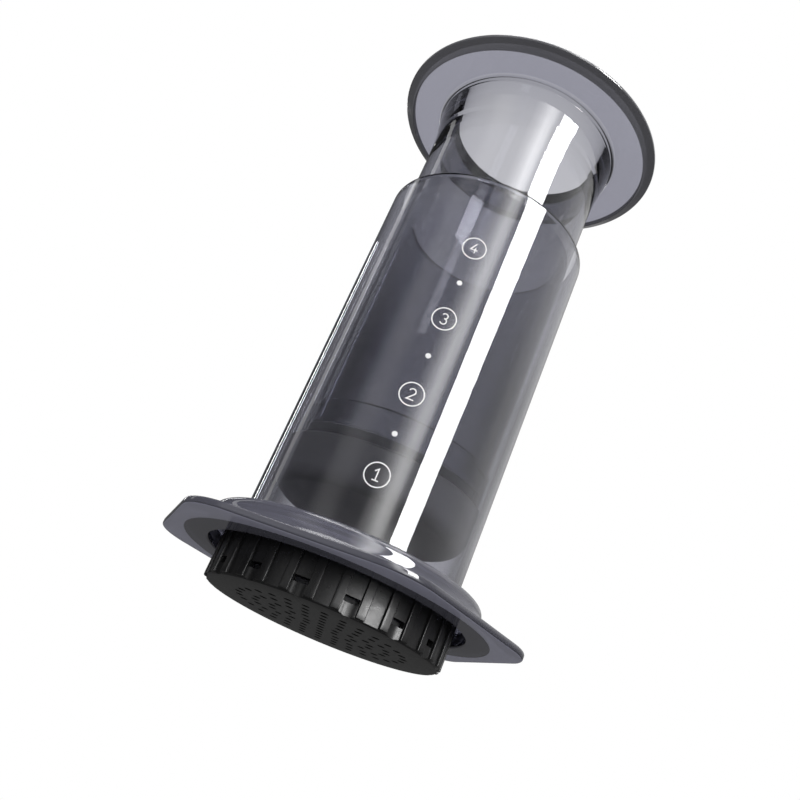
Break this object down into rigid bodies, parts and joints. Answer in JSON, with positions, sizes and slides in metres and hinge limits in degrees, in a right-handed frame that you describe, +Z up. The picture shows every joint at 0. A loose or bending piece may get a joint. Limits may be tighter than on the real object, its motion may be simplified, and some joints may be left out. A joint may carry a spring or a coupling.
{
  "type": "hand press coffee maker",
  "caption": "Hand press coffee maker: clear chamber with a hexagonal flange, sliding plunger with a rubber seal and a twist-lock filter cap over a paper disc.",
  "frame": {"origin": "middle of the filter cap's flat underside, on which the press stands", "axes": "+Z up the common axis from the filter cap to the plunger's disc; the printed scale faces -Y"},
  "size_m": [0.1096, 0.1094, 0.1825],
  "materials": {
    "clear_chamber": "smoke-grey tinted clear plastic, polished",
    "clear_plunger": "smoke-grey tinted clear plastic, polished",
    "seal_rubber": "smooth satin rubber",
    "cap_plastic": "black moulded plastic, fine satin grain",
    "filter_paper": "fibrous paper",
    "scale_ink": "white printed ink"
  },
  "bodies": {
    "chamber": {"chamber": "clear_chamber", "mark_1": "scale_ink", "mark_2": "scale_ink", "mark_3": "scale_ink", "mark_4": "scale_ink", "mark_dots": "scale_ink"},
    "plunger": {"plunger": "clear_plunger", "plunger_seal": "seal_rubber"},
    "cap": {"filter_cap": "cap_plastic", "paper_filter": "filter_paper"}
  },
  "joints": [
    {"name": "plunger_slide", "type": "slide", "parent": "chamber", "child": "plunger", "axis": [0, 0, 1], "range_m": [-0.03, 0.1]},
    {"name": "cap_twist", "type": "hinge", "parent": "chamber", "child": "cap", "pos_m": [0, 0, 0], "axis": [0, 0, 1], "range_deg": [-11.25, 0]}
  ]
}
